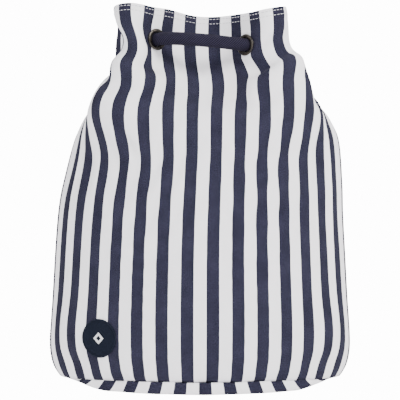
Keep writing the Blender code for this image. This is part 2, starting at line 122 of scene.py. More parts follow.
class Wire:
    """A node's output socket that works in Python expressions."""

    def __init__(self, tree, socket):
        self.tree = tree
        self.socket = socket

    def node(self, kind, settings=None, output=0, **inputs):
        """Any node: its type, its settings, and its sockets by name or by i0, i1, ..."""
        made = self.tree.nodes.new(kind)
        for name, value in (settings or {}).items():
            if name == "stops":
                ramp = made.color_ramp
                while len(ramp.elements) < len(value):
                    ramp.elements.new(0.5)
                for element, (place, colour) in zip(ramp.elements, value):
                    element.position = place
                    element.color = colour
            else:
                setattr(made, name, value)
        for name, value in inputs.items():
            number = name[1:] if name[0] == "i" and name[1:].isdigit() else None
            socket = made.inputs[int(number) if number else name.replace("_", " ")]
            if isinstance(value, Wire):
                self.tree.links.new(value.socket, socket)
            else:
                socket.default_value = value
        return Wire(self.tree, made.outputs[output])

    def math(self, operation, *values):
        return self.node(
            "ShaderNodeMath",
            {"operation": operation},
            **{f"i{n}": value for n, value in enumerate(values)},
        )

    def __add__(self, other):
        return self.math("ADD", self, other)

    def __sub__(self, other):
        return self.math("SUBTRACT", self, other)

    def __rsub__(self, other):
        return self.math("SUBTRACT", other, self)

    def __mul__(self, other):
        return self.math("MULTIPLY", self, other)

    def __truediv__(self, other):
        return self.math("DIVIDE", self, other)

    def __mod__(self, other):
        return self.math("FLOORED_MODULO", self, other)

    def __abs__(self):
        return self.math("ABSOLUTE", self)

    def sine(self):
        return self.math("SINE", self)

    def between(self, low, high):
        """0 below low and 1 above high, with a smooth way between."""
        return self.node(
            "ShaderNodeMapRange",
            {"interpolation_type": "SMOOTHSTEP"},
            Value=self,
            From_Min=low,
            From_Max=high,
        )

    def mixed(self, first, second):
        """The colour from first to second by this share."""
        made = self.node("ShaderNodeMix", {"data_type": "RGBA"}, output=2, i0=self)
        node = made.socket.node
        for socket, value in ((node.inputs[6], first), (node.inputs[7], second)):
            if isinstance(value, Wire):
                self.tree.links.new(value.socket, socket)
            else:
                socket.default_value = value
        return made

    def noise(self, scale, detail=2.0):
        return self.node("ShaderNodeTexNoise", {}, Vector=self, Scale=scale, Detail=detail)


class Finish:
    """A Principled material and the wires that its pattern starts from."""

    def __init__(self, name, roughness=0.5, metallic=0.0, **constants):
        self.material = bpy.data.materials.new(name)
        self.material.use_nodes = True
        self.tree = self.material.node_tree
        self.shader = self.tree.nodes["Principled BSDF"]
        self.shader.inputs["Roughness"].default_value = roughness
        self.shader.inputs["Metallic"].default_value = metallic
        for socket, value in constants.items():
            self.shader.inputs[socket.replace("_", " ")].default_value = value
        self.start = Wire(self.tree, None)

    def cloth_place(self):
        """Metres round and up the cloth, from the piece's own map."""
        where = self.start.node("ShaderNodeUVMap", {"uv_map": "Cloth"})
        apart = where.node("ShaderNodeSeparateXYZ", Vector=where)
        node = apart.socket.node
        return where, Wire(self.tree, node.outputs[0]), Wire(self.tree, node.outputs[1])

    def object_place(self):
        where = self.start.node("ShaderNodeTexCoord", output=3)
        apart = where.node("ShaderNodeSeparateXYZ", Vector=where)
        node = apart.socket.node
        return where, *[Wire(self.tree, node.outputs[i]) for i in range(3)]

    def wear(self, socket, value):
        if isinstance(value, Wire):
            self.tree.links.new(value.socket, self.shader.inputs[socket])
        else:
            self.shader.inputs[socket].default_value = value

    def bump(self, height, depth, strength=1.0):
        made = height.node("ShaderNodeBump", Height=height, Distance=depth, Strength=strength)
        self.tree.links.new(made.socket, self.shader.inputs["Normal"])


floor_finish = Finish(
    "floor_paper", roughness=0.9, Emission_Color=(1, 1, 1, 1), Emission_Strength=0.5
)
floor_finish.wear("Base Color", (0.93, 0.93, 0.93, 1))
floor_lit = floor_finish.tree.nodes.new("ShaderNodeEmission")
white_when_seen(floor_finish.tree, floor_finish.shader, floor_lit, "Material Output")
floor_mesh.materials.append(floor_finish.material)

# --- The rope ------------------------------------------------------------------------------
# One thick cotton rope in a knitted twill sleeve closes the neck and makes both shoulder
# straps. It runs through all eight neck eyelets, comes out at the back, goes down through the
# slider, and each end enters a corner eyelet low on the back and is knotted inside the bag.

ROPE = 0.014
# ROPE_SHADE is the near-black of the painted shade in the rope's grooves, and of its darker
# patches.
ROPE_SHADE = (0.003, 0.003, 0.008, 1)
ROPE_NAVY = (0.034, 0.029, 0.058, 1)
BACK_Y = 0.108
EYELET_Z = 0.378
SLIDER_TOP = (0.0115, -0.014, 0.026)
SLIDER_BOTTOM = (0.0115, 0.022, 0.121)
STRAP_ROUTE = (
    (0.0200, 0.029, 0.215),
    (0.0370, 0.035, 0.150),
    (0.0500, 0.042, 0.085),
    (0.0560, 0.057, 0.035),
    (0.0640, 0.078, 0.010),
    (0.0850, 0.094, 0.0076),
    (0.1150, 0.096, 0.0076),
    (0.1420, 0.080, 0.0076),
    (0.1520, 0.052, 0.010),
    (0.1420, 0.024, 0.025),
)


def node_points(name):
    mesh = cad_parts[name].data
    points = np.empty(len(mesh.vertices) * 3)
    mesh.vertices.foreach_get("co", points)
    return points.reshape(-1, 3)


class Seat:
    """Where an eyelet sits: its middle on the cloth, its outward way, and its own sizes."""

    def __init__(self, name):
        barrel = node_points(f"eyelet_{name}")
        washer = node_points(f"washer_{name}")
        middle = (barrel.min(0) + barrel.max(0)) / 2
        spread = np.linalg.eigh(np.cov((washer - washer.mean(0)).T))
        way = spread[1][:, 0]
        if np.dot(middle - washer.mean(0), way) < 0:
            way = -way
        self.out = way
        along = (barrel - middle) @ way
        off_axis = barrel - washer.mean(0)
        radius = np.linalg.norm(off_axis - np.outer(off_axis @ way, way), axis=1)
        self.flange_radius = radius.max()
        self.bore_radius = radius.min()
        under = along[radius > 0.98 * self.flange_radius].min()
        back = ((washer - middle) @ way).max()
        axis_point = washer.mean(0)
        axis_point = axis_point + way * np.dot(middle - axis_point, way)
        self.middle = axis_point + way * (under + back) / 2
        self.top = along.max() - (under + back) / 2
        self.under = under - (under + back) / 2
        self.back = back - (under + back) / 2
        self.end = along.min() - (under + back) / 2
        self.across = np.cross((0, 0, 1), way)
        self.across /= np.linalg.norm(self.across)
        self.up = np.cross(way, self.across)


NECK_NAMES = (
    "front_right",
    "right_front",
    "right_back",
    "back_right",
    "back_left",
    "left_back",
    "left_front",
    "front_left",
)
seats = {name: Seat(name) for name in (*NECK_NAMES, "corner_left", "corner_right")}


def bow(start, leaving, end, arriving, strength, count):
    """A cubic curve between two places, with the directions that it leaves and arrives in."""
    t = np.linspace(0, 1, count)[:, None]
    leaving = leaving * strength
    arriving = arriving * strength
    curve = (2 * t**3 - 3 * t**2 + 1) * start + (t**3 - 2 * t**2 + t) * leaving
    return curve + (3 * t**2 - 2 * t**3) * end + (t**3 - t**2) * arriving


def rope_line(step=0.0035):
    """The rope's middle line, from its left knot to its right knot."""
    stations = []

    def through(name, sense, before=0.006, after=0.006):
        way = seats[name].out * sense
        stations.append((seats[name].middle - way * before, way))
        stations.append((seats[name].middle + way * after, way))

    def placed(x, behind, z, side):
        return np.array([x * side, BACK_Y + behind, z])

    def run_end(end, side):
        return placed(end[0], end[1], EYELET_Z - end[2], side)

    run = run_end(SLIDER_BOTTOM, 1) - run_end(SLIDER_TOP, 1)
    run /= np.linalg.norm(run)
    through("corner_left", 1, before=-seats["corner_left"].end)
    stations.extend((placed(*p, -1), None) for p in reversed(STRAP_ROUTE))
    stations.extend((run_end(end, -1), -run) for end in (SLIDER_BOTTOM, SLIDER_TOP))
    through("back_left", -1)
    through("left_back", 1)
    through("left_front", -1)
    through("front_left", 1)
    through("front_right", -1)
    through("right_front", 1)
    through("right_back", -1)
    through("back_right", 1)
    stations.extend((run_end(end, 1), run) for end in (SLIDER_TOP, SLIDER_BOTTOM))
    stations.extend((placed(*p, 1), None) for p in STRAP_ROUTE)
    through("corner_right", -1, after=-seats["corner_right"].end)
    places = [place for place, _ in stations]
    line = [places[0]]
    ways = []
    for i, (_, way) in enumerate(stations):
        if way is None:
            way = places[i + 1] - places[i - 1]
            way = way / np.linalg.norm(way)
        ways.append(way)
    for i in range(len(places) - 1):
        distance = np.linalg.norm(places[i + 1] - places[i])
        parts = max(2, round(distance / step))
        curve = bow(places[i], ways[i], places[i + 1], ways[i + 1], distance * 0.9, parts + 1)
        line.extend(curve[1:])
    return np.array(line)


def line_frames(line):
    """Along each point of a line: its way, and two directions across that don't twist."""
    ways = np.gradient(line, axis=0)
    ways /= np.linalg.norm(ways, axis=1)[:, None]
    side = np.cross(ways[0], (0.31, 0.2, 0.9))
    sides = []
    for way in ways:
        side = side - way * np.dot(side, way)
        side = side / np.linalg.norm(side)
        sides.append(side)
    sides = np.array(sides)
    return ways, sides, np.cross(ways, sides)


def add_piece(name, points, faces, finish, places=None, joined=True):
    """A smooth mesh with its finish and, if it has places, its Cloth map."""
    mesh = bpy.data.meshes.new(name)
    mesh.from_pydata([tuple(p) for p in points], [], faces)
    mesh.materials.append(finish.material)
    mesh.shade_smooth()
    piece = link(bpy.data.objects.new(name, mesh))
    if places is not None:
        add_map(mesh, places)
    if joined:
        tidy(piece)
    return piece


def belongs(piece, node=None):
    """Hides the node that a piece replaces, if any, and sets the piece to ride on the bag."""
    if node:
        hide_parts(node)
    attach(piece, BAG)


def ring_faces(outlines, count):
    """Faces between closed outlines of count points, each joined to the next and last to first."""
    faces = []
    for i in range(outlines):
        start, after = i * count, (i + 1) % outlines * count
        for j in range(count):
            beside = (j + 1) % count
            faces.append((start + j, after + j, after + beside, start + beside))
    return faces


def add_map(mesh, places):
    """The Cloth map: two numbers, in metres, for each vertex."""
    layer = mesh.uv_layers.new(name="Cloth")
    corners = np.empty(len(mesh.loops), dtype=np.int32)
    mesh.loops.foreach_get("vertex_index", corners)
    layer.uv.foreach_set("vector", np.asarray(places, dtype=np.float32)[corners].ravel())


def tube(name, line, radius, finish, sides=20):
    """A tube with flat ends. Its map runs round it, then along it, in metres."""
    _, across, over = line_frames(line)
    along = np.concatenate([[0], np.cumsum(np.linalg.norm(np.diff(line, axis=0), axis=1))])
    radii = np.broadcast_to(radius, len(line)).copy()
    points, places, faces = [], [], []
    width = sides + 1
    for i in range(len(line)):
        for j in range(width):
            turn = 2 * math.pi * j / sides
            way = across[i] * math.cos(turn) + over[i] * math.sin(turn)
            points.append(line[i] + way * radii[i])
            places.append((turn * ROPE / 2, along[i]))
    for i in range(len(line) - 1):
        for j in range(sides):
            a = i * width + j
            faces.append((a, a + 1, a + width + 1, a + width))
    for end, flip in ((0, True), (len(line) - 1, False)):
        hub = len(points)
        points.append(line[end])
        places.append((0, along[end]))
        for j in range(sides):
            a = end * width + j
            faces.append((a + 1, a, hub) if flip else (a, a + 1, hub))
    return add_piece(name, points, faces, finish, places)


def tidy(piece, distance=0.00002):
    """Joins points that share a place, drops unused ones, and turns every face outwards."""
    shape = bmesh.new()
    shape.from_mesh(piece.data)
    unused = [point for point in shape.verts if not point.link_faces]
    bmesh.ops.delete(shape, geom=unused, context="VERTS")
    bmesh.ops.remove_doubles(shape, verts=shape.verts, dist=distance)
    bmesh.ops.recalc_face_normals(shape, faces=shape.faces)
    shape.to_mesh(piece.data)
    shape.free()


def knitted_sleeve():
    """Fine diagonal twill ribs crossed by stitches, with a little fuzz and paler patches. The
    grooves between the ribs and stitches are painted darker, as painted shade.
    """
    finish = Finish("rope_sleeve", roughness=0.9, Specular_IOR_Level=0.12)
    _, around, along = finish.cloth_place()
    where = finish.object_place()[0]
    drift = where.noise(900.0, 2.0)
    rib = ((around * 0.9 + along) / 0.0025 * 2 * math.pi + drift * 1.6).sine()
    stitch = ((around - along * 0.5) / 0.0011 * 2 * math.pi + drift * 1.2).sine()
    height = rib * 0.6 + stitch * 0.4
    patchy = where.noise(60.0, 3.0)
    # The colour follows the rib and stitch height: the grooves are painted dark as painted shade,
    # and the patchy noise is the sleeve's own uneven tone.
    shade = (height * 0.5 + 0.45 + (patchy - 0.5) * 0.4).between(0.0, 1.0)
    finish.wear("Base Color", shade.mixed(ROPE_SHADE, ROPE_NAVY))
    finish.bump(height + where.noise(2600.0, 2.0) * 0.5, 0.0006, 1.0)
    return finish


sleeve = knitted_sleeve()
rope_middle = rope_line()
rope = tube("rope", rope_middle, ROPE / 2, sleeve)
belongs(rope, "drawcord")


def overhand_knot(name, seat, finish):
    """A tight overhand knot behind a corner eyelet, in rope pulled thinner than the straps."""
    t = np.linspace(0.35, 2 * math.pi - 0.25, 90)
    x = np.sin(t) + 2 * np.sin(2 * t)
    y = np.cos(t) - 2 * np.cos(2 * t)
    z = -np.sin(3 * t)
    size = 0.0030
    start = seat.middle + seat.out * (seat.end - 0.013)
    flat = np.outer(x, seat.across) + np.outer(y, seat.up)
    line = start + size * (flat + np.outer(z * 0.9, seat.out))
    return tube(name, line, 0.0052, finish, sides=14)


for side in ("left", "right"):
    knot = overhand_knot(f"rope_knot_{side}", seats[f"corner_{side}"], sleeve)
    belongs(knot, f"cord_knot_{side}")

# --- The canvas ----------------------------------------------------------------------------
# One tube of yarn-dyed striped cotton canvas, cut as a front and a back panel and sewn at the
# sides. Its foot is sewn to the oval base, its top is turned in as a hem, and the rope gathers
# it at the eyelets, so that it folds between them. The outline and the main folds are chosen:
# the cloth is drawn towards them while it settles, and keeps close to its own lengths.

COLUMNS = 128
EYELET_COLUMNS = [8 + 16 * i for i in range(8)]
ROWS = 62
EYELET_ROW = 57
CLOTH_HEIGHT = 0.426
STRIPES = 32
CLOTH = 0.0011
HEM = 0.011

front_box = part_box("body_front")
back_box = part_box("body_back")
HALF_WIDTH = (front_box[1][0] - front_box[0][0]) / 2
HALF_DEPTH = (back_box[1][1] - front_box[0][1]) / 2
SEAM_Z = front_box[0][2]
OVAL_POWER = 2 / 1.85
BODY_SHAPE = (
    (0.0138, 0.928, 0.930),
    (0.0250, 0.985, 0.965),
    (0.0420, 1.000, 0.990),
    (0.0930, 0.972, 1.000),
    (0.1490, 0.953, 0.995),
    (0.2060, 0.930, 0.980),
    (0.2630, 0.882, 0.930),
    (0.2970, 0.822, 0.860),
    (0.3190, 0.765, 0.790),
    (0.3420, 0.690, 0.690),
    (0.3650, 0.615, 0.600),
    (0.3800, 0.560, 0.520),
)


def oval_point(turn, half_width, half_depth):
    x, y = np.sin(turn), -np.cos(turn)
    return (
        half_width * np.sign(x) * np.abs(x) ** OVAL_POWER,
        half_depth * np.sign(y) * np.abs(y) ** OVAL_POWER,
    )


def even_oval(half_width, half_depth, count):
    """count points round an oval, evenly along it, from the middle of the front by +X."""
    turn = np.linspace(0, 2 * math.pi, 721)
    x, y = oval_point(turn, half_width, half_depth)
    along = np.concatenate([[0], np.cumsum(np.hypot(np.diff(x), np.diff(y)))])
    at = np.arange(count) / count * along[-1]
    return np.stack([np.interp(at, along, x), np.interp(at, along, y)], 1), along[-1]


GIRTH = even_oval(HALF_WIDTH, HALF_DEPTH, COLUMNS)[1]
STEP = GIRTH / COLUMNS
RISE = CLOTH_HEIGHT / ROWS


def body_ring(z):
    at, widths, depths = np.array(BODY_SHAPE).T
    half_width = HALF_WIDTH * np.interp(z, at, widths)
    half_depth = HALF_DEPTH * np.interp(z, at, depths)
    return even_oval(half_width, half_depth, COLUMNS)[0]


def neck_ring():
    """The gathered neck before the cloth settles: through each eyelet, folded between them."""
    points = np.zeros((COLUMNS, 2))
    pointing = {0: -10.0, 1: 180.0, 2: 12.0, 3: 270.0, 4: 168.0, 5: 0.0, 6: 190.0, 7: 90.0}
    reach = {0: 0.030, 1: 0.022, 2: 0.034, 3: 0.014, 4: 0.024, 5: 0.022, 6: 0.018, 7: 0.014}
    ordered = [seats[name] for name in NECK_NAMES]
    for i, seat in enumerate(ordered):
        after = ordered[(i + 1) % 8]
        way, way_after = seat.across[:2], after.across[:2]
        start = seat.middle[:2] + way * 2 * STEP
        end = after.middle[:2] - way_after * 2 * STEP
        angle = math.radians(pointing[i])
        point = np.array([math.cos(angle), math.sin(angle)])
        over = np.array([-point[1], point[0]])
        over = over if np.dot(over, end - start) > 0 else -over
        tip = (start + end) / 2 + point * reach[i]
        first = bow(start, way, tip, over, np.linalg.norm(tip - start), 7)
        second = bow(tip, over, end, way_after, np.linalg.norm(end - tip), 7)
        column = EYELET_COLUMNS[i]
        for j in range(-2, 3):
            points[(column + j) % COLUMNS] = seat.middle[:2] + way * j * STEP
        fold = np.concatenate([first, second[1:]])[1:-1]
        for j, place in enumerate(fold):
            points[(column + 3 + j) % COLUMNS] = place
    return points


def smooth(x):
    x = np.clip(x, 0, 1)
    return x * x * (3 - 2 * x)


# How deep or far the shape's folds and bulges go. Then, for one step of the settling: the forces,
# the share of its speed that the cloth keeps, its pull to the shape and the extra pull below the
# neck. Last, where it can meet the rope or itself, and how far round a corner eyelet it is held.
FOLD_DEPTH = 0.0085
PUFF = 0.0065
FOOT_BULGE = 0.004
FOOT_TUCK = 0.005
DENT = 0.0045
WAIST_TUCK = 0.012
SHOULDER = 0.028
LOBE_LIFT = 0.010
LEAN = 0.008
SIDE_DROP = 0.005
FLARE = 0.031
PRESSURE = 0.00003
WEIGHT = 0.00002
DAMPING = 0.94
GUIDE = 0.04
GUIDE_BELOW = 0.10
GATHERED_ROW = 46
GATHERED_Z = 0.34
CORNER_HOLD = 0.0145


def creases(rows, columns):
    """How far each point is pushed out of the plain shape, where the bag folds and bulges."""
    turned = (columns + COLUMNS // 2) % COLUMNS - COLUMNS // 2
    around = np.abs(turned)
    from_middle = np.where(around <= 32, around, 64 - around)
    line = 52.0 + 5.0 * (from_middle - 8) / 11
    below = rows - line
    here = smooth((from_middle - 6) / 3) * (1 - smooth((from_middle - 18) / 4))
    sharp = np.where((turned > 0) & (turned < 32), 1.5, 1.0)
    folded = -FOLD_DEPTH * np.exp(-((below / 1.2) ** 2))
    puffed = PUFF * np.exp(-(((below + 3.6) / 2.0) ** 2))
    corner = np.exp(-(((from_middle - 23) / 4.5) ** 2))
    foot = FOOT_BULGE * np.exp(-(((rows - 8) / 4) ** 2))
    foot = foot - FOOT_TUCK * np.exp(-(((rows - 2.5) / 1.5) ** 2))
    dent = -DENT * np.exp(-(((rows - 33 - turned * 0.25) / 2.5) ** 2))
    dent = dent * np.exp(-(((turned - 25) / 5) ** 2))
    waist = -WAIST_TUCK * np.exp(-(((rows - 54.5) / 2.2) ** 2) - ((turned + 17) / 4) ** 2)
    return (folded + puffed) * here * sharp + foot * corner + dent + waist


def start_shape():
    cloth = np.zeros((ROWS + 1, COLUMNS, 3))
    neck = neck_ring()
    heights = np.interp(
        np.arange(COLUMNS),
        [EYELET_COLUMNS[-1] - COLUMNS, *EYELET_COLUMNS, EYELET_COLUMNS[0] + COLUMNS],
        [seats[n].middle[2] for n in (NECK_NAMES[-1], *NECK_NAMES, NECK_NAMES[0])],
    )
    corner = 0.5 - 0.5 * np.cos(2 * math.pi * np.arange(COLUMNS) / 32)
    outward = neck / np.linalg.norm(neck, axis=1)[:, None]
    fuller = 1 + 0.6 * np.exp(-(((np.arange(COLUMNS) - 111) / 6) ** 2))
    plain = outward * corner[:, None]
    flared = outward * (corner * fuller)[:, None]
    sideways = np.sign(neck[:, 0]) * np.abs(np.sin(2 * math.pi * np.arange(COLUMNS) / COLUMNS))
    for row in range(ROWS + 1):
        share = row / EYELET_ROW
        if row <= EYELET_ROW:
            z = SEAM_Z + (EYELET_Z - SEAM_Z) * share
            gathered = smooth((share - 0.74) / 0.26)
            shoulder = smooth((share - 0.62) / 0.22) * (1 - smooth((share - 0.90) / 0.09))
            flat = body_ring(min(z, 0.365)) * (1 - gathered) + neck * gathered
            high = smooth((share - 0.78) / 0.10)
            flat = flat + (flared * (1 - high) + plain * high) * SHOULDER * shoulder
            flat[:, 0] += LEAN * smooth((share - 0.45) / 0.3) * (1 - smooth((share - 0.88) / 0.1))
            level = z + gathered * (heights - EYELET_Z + LOBE_LIFT * (corner - 0.5))
            level = level - SIDE_DROP * sideways**4 * (1 - smooth(share / 0.1))
        else:
            above = (row - EYELET_ROW) / (ROWS - EYELET_ROW)
            flat = neck + plain * FLARE * above
            level = heights + LOBE_LIFT * (corner - 0.5) + (row - EYELET_ROW) * RISE
        cloth[row, :, :2] = flat
        cloth[row, :, 2] = level
    return cloth


def pairs(down, right):
    """Grid links from each point to one further down and right, in batches that share no point."""
    rows, columns = np.meshgrid(np.arange(ROWS + 1 - down), np.arange(COLUMNS), indexing="ij")
    first = (rows * COLUMNS + columns).ravel()
    second = ((rows + down) * COLUMNS + (columns + right) % COLUMNS).ravel()
    reach = max(down, abs(right))
    lane = (rows // reach if down else columns // reach).ravel() % 2
    return [(first[lane == i], second[lane == i]) for i in (0, 1)]


def cloth_links():
    """Each batch of links: both ends, resting length, give when pulled and when pressed."""
    diagonal = math.hypot(STEP, RISE)
    kinds = (
        (0, 1, STEP, 1.0, 0.35),
        (1, 0, RISE, 1.0, 0.35),
        (1, 1, diagonal, 0.25, 0.12),
        (1, -1, diagonal, 0.25, 0.12),
        (0, 2, 2 * STEP, 0.0, 0.10),
        (2, 0, 2 * RISE, 0.0, 0.10),
        (0, 4, 4 * STEP, 0.0, 0.04),
        (4, 0, 4 * RISE, 0.0, 0.14),
    )
    links = []
    for down, right, length, pulled, pressed in kinds:
        for first, second in pairs(down, right):
            stiff = np.full(len(first), pressed)
            if right in (2, 4):
                stiff[first // COLUMNS >= ROWS - 1] *= 4
            links.append((first, second, length, pulled, stiff))
    return links


def held_points(shape):
    """The points that the base seam and the eyelets hold, and where they hold them."""
    held = {column: shape[0, column] for column in range(COLUMNS)}
    for name, column in zip(NECK_NAMES, EYELET_COLUMNS):
        seat = seats[name]
        for i in range(-2, 3):
            for j in range(-2, 3):
                if abs(i) + abs(j) == 4:
                    continue
                place = seat.middle + seat.across * i * STEP + seat.up * j * RISE
                held[(EYELET_ROW + j) * COLUMNS + (column + i) % COLUMNS] = place
    flat = shape.reshape(-1, 3)
    for name in ("corner_left", "corner_right"):
        seat = seats[name]
        off = flat - seat.middle
        for i in np.nonzero(np.linalg.norm(off, axis=1) < CORNER_HOLD)[0]:
            held[int(i)] = flat[i] - seat.out * (off[i] @ seat.out)
    return np.array(list(held)), np.array(list(held.values()))


def surface_normals(grid):
    across = np.roll(grid, -1, axis=1) - np.roll(grid, 1, axis=1)
    up = np.gradient(grid, axis=0)
    normals = np.cross(across, up)
    return normals / np.maximum(np.linalg.norm(normals, axis=2), 1e-9)[..., None]


def keep_off_rope(rows, line):
    """The moves that take cloth points out of the rope."""
    apart = rows[:, None, :] - line[None]
    distance = np.linalg.norm(apart, axis=2)
    nearest = distance.argmin(1)
    gap = distance[np.arange(len(rows)), nearest]
    way = apart[np.arange(len(rows)), nearest] / np.maximum(gap, 1e-6)[:, None]
    clear = ROPE / 2 + CLOTH / 2 + 0.0010
    return way * np.maximum(clear - gap, 0)[:, None]


def keep_layers_apart(flat, first_row, gap=0.0055):
    """Pushes apart layers of the gathered cloth that come closer than a small gap."""
    start = first_row * COLUMNS
    part = flat[start:]
    tree = KDTree(len(part))
    for i, place in enumerate(part):
        tree.insert(place, i)
    tree.balance()
    shift = np.zeros_like(part)
    for i, place in enumerate(part):
        for _, j, distance in tree.find_range(place, gap):
            if j <= i:
                continue
            rows_off = abs(j // COLUMNS - i // COLUMNS)
            columns_off = abs(j % COLUMNS - i % COLUMNS)
            columns_off = min(columns_off, COLUMNS - columns_off)
            if max(rows_off, columns_off) <= 2 or distance < 1e-7:
                continue
            way = (place - part[j]) / distance * (gap - distance) * 0.5
            shift[i] += way
            shift[j] -= way
    flat[start:] += shift


def settle(shape, steps=220, sweeps=6):
    """Settles the cloth between its seam and the eyelets, drawn towards the chosen shape."""
    rows, columns = np.meshgrid(np.arange(ROWS + 1), np.arange(COLUMNS), indexing="ij")
    target_normals = surface_normals(shape)
    target = shape + target_normals * creases(rows, columns)[..., None]
    flat = shape.reshape(-1, 3).copy()
    old = flat.copy()
    links = cloth_links()
    held, held_at = held_points(shape)
    loose = np.ones(len(flat))
    loose[held] = 0
    line = rope_middle[rope_middle[:, 2] > GATHERED_Z][::2]
    share = np.arange(ROWS + 1) / EYELET_ROW
    filled = 1 - smooth((share - 0.90) / 0.08)
    guided = GUIDE + GUIDE_BELOW * (1 - smooth((share - 0.90) / 0.08))
    for step in range(steps):
        grid = flat.reshape(shape.shape)
        push = surface_normals(grid) * (filled * PRESSURE)[:, None, None]
        push[..., 2] -= WEIGHT
        speed = (flat - old) * DAMPING
        old = flat.copy()
        flat = flat + (speed + push.reshape(-1, 3)) * loose[:, None]
        flat[held] = held_at
        for _ in range(sweeps):
            for first, second, length, pulled, pressed in links:
                apart = flat[second] - flat[first]
                distance = np.sqrt((apart * apart).sum(1)) + 1e-12
                over = distance - length
                give = np.where(over > 0, pulled, pressed)
                sides = loose[first] + loose[second]
                move = apart * (give * over / distance / np.maximum(sides, 1))[:, None]
                flat[first] += move * loose[first][:, None]
                flat[second] -= move * loose[second][:, None]
        off = ((target - flat.reshape(shape.shape)) * target_normals).sum(2)
        guide = target_normals * (off * guided[:, None])[..., None]
        flat += guide.reshape(-1, 3) * loose[:, None]
        near = slice(GATHERED_ROW * COLUMNS, None)
        flat[near] += keep_off_rope(flat[near], line) * loose[near][:, None]
        if step % 4 == 0:
            keep_layers_apart(flat, GATHERED_ROW)
            flat[held] = held_at
    return flat.reshape(shape.shape)


def finer(grid):
    """Twice as many rows and columns, on the smooth surface that the points control."""
    left, right = np.roll(grid, 1, axis=1), np.roll(grid, -1, axis=1)
    wide = np.empty((grid.shape[0], grid.shape[1] * 2, grid.shape[2]))
    wide[:, 0::2] = (left + 6 * grid + right) / 8
    wide[:, 1::2] = (grid + right) / 2
    low = np.concatenate([2 * wide[:1] - wide[1:2], wide[:-1]])
    high = np.concatenate([wide[1:], 2 * wide[-1:] - wide[-2:-1]])
    tall = np.empty((grid.shape[0] * 2 - 1, wide.shape[1], grid.shape[2]))
    tall[0::2] = (low + 6 * wide + high) / 8
    tall[1::2] = (wide[:-1] + wide[1:]) / 2
    return tall


cloth = settle(start_shape())
fine = finer(cloth)
FINE_COLUMNS = 2 * COLUMNS
FINE_ROWS = 2 * ROWS
HOLE = 0.0094
PRESSED_RADIUS = 0.0130
PRESSED_EDGE = 0.006


def seat_spots():
    """The row and column of the cloth at the middle of each eyelet."""
    spots = {}
    for name, column in zip(NECK_NAMES, EYELET_COLUMNS):
        spots[name] = (2 * EYELET_ROW, 2 * column)
    for name in ("corner_left", "corner_right"):
        gap = np.linalg.norm(fine - seats[name].middle, axis=2)
        spots[name] = np.unravel_index(gap.argmin(), gap.shape)
    return spots


def cloth_distance(spot):
    rows, columns = np.meshgrid(np.arange(FINE_ROWS + 1), np.arange(FINE_COLUMNS), indexing="ij")
    off = (columns - spot[1] + COLUMNS) % FINE_COLUMNS - COLUMNS
    return np.hypot(off * STEP / 2, (rows - spot[0]) * RISE / 2)


def open_holes():
    """Flattens the cloth under each eyelet and opens a round hole. Gives the quads left out."""
    opened = np.zeros((FINE_ROWS, FINE_COLUMNS), dtype=bool)
    for name, spot in seat_spots().items():
        seat = seats[name]
        distance = cloth_distance(spot)
        pressed = 1 - smooth((distance - PRESSED_RADIUS) / PRESSED_EDGE)
        off = fine - seat.middle
        fine[:] -= ((off @ seat.out) * pressed)[..., None] * seat.out
        off = fine - seat.middle
        off -= (off @ seat.out)[..., None] * seat.out
        ahead = np.roll(off, -1, axis=1)
        middle = (off[:-1] + off[1:] + ahead[:-1] + ahead[1:]) / 4
        hole = (np.linalg.norm(middle, axis=2) < HOLE) & (distance[:-1] < 0.018)
        opened |= hole
        touching = np.zeros(distance.shape, dtype=int)
        for moved in (hole, np.roll(hole, 1, axis=1)):
            touching[:-1] += moved
            touching[1:] += moved
        rim = (touching > 0) & (touching < 4)
        way = off[rim] / np.linalg.norm(off[rim], axis=1)[:, None]
        fine[rim] = seat.middle + way * HOLE
    return opened


opened = open_holes()
fine_normals = surface_normals(fine)


def striped_canvas(name):
    """Yarn-dyed navy and white stripes in a plain weave, with paler flecks in the navy."""
    finish = Finish(name, roughness=0.92, Specular_IOR_Level=0.12)
    where, around, up = finish.cloth_place()
    drift = where.noise(700.0, 2.0)
    place = around / (GIRTH / STRIPES) + drift * 0.012 - 0.006
    from_white = abs((place + 0.5) % 1 - 0.5)
    navy_share = from_white.between(0.243, 0.257)
    yarn = 0.00062
    warp = abs((around / yarn * math.pi).sine())
    weft = abs((up / yarn * math.pi).sine())
    over = ((around / yarn * math.pi).sine() * (up / yarn * math.pi).sine()).between(-0.3, 0.3)
    weave = over * warp + (1 - over) * weft
    fleck = where.noise(1500.0, 3.0)
    cloudy = where.noise(45.0, 3.0)
    # The weave term paints the gaps between the yarns darker in both stripes, as painted shade;
    # the flecks and cloudy patches are the cloth's own tone.
    navy = (fleck * 1.7 + weave * 0.35 + cloudy * 0.35 - 0.75).between(0.2, 1.0)
    white = (weave * 0.5 + fleck * 0.5 + cloudy * 0.3).between(0.1, 1.1)
    navy_colour = navy.mixed((0.006, 0.006, 0.014, 1), (0.040, 0.038, 0.070, 1))
    white_colour = white.mixed((0.80, 0.78, 0.82, 1), (0.98, 0.96, 1.0, 1))
    finish.wear("Base Color", navy_share.mixed(white_colour, navy_colour))
    wrinkles = where.noise(55.0, 4.0)
    finish.bump(weave * 0.35 + fleck * 0.3 + wrinkles * 1.4, 0.00045, 0.7)
    return finish


